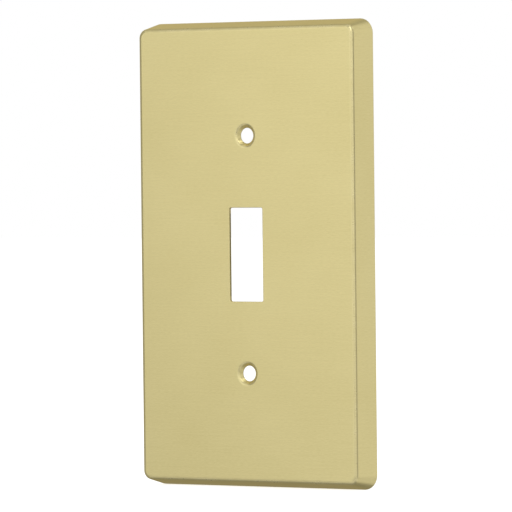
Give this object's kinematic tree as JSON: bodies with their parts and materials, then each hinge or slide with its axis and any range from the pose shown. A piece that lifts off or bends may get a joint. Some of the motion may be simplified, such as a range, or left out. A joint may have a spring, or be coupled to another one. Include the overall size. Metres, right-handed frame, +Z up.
{
  "type": "toggle switch wall plate",
  "caption": "Upright metal cover plate for a wall switch: a shallow tray of drawn brass sheet with leaning sides, a toggle slot and dished screw holes above and below it.",
  "frame": {"origin": "centre of the rim plane, where the plate rests on the finished wall", "axes": "+Z up the plate, +X to the right seen from the room, +Y into the wall"},
  "size_m": [0.0698, 0.007, 0.1186],
  "materials": {
    "brushed_brass": "satin, brushed across the plate"
  },
  "bodies": {
    "root": {"switch_plate": "brushed_brass"}
  },
  "joints": []
}
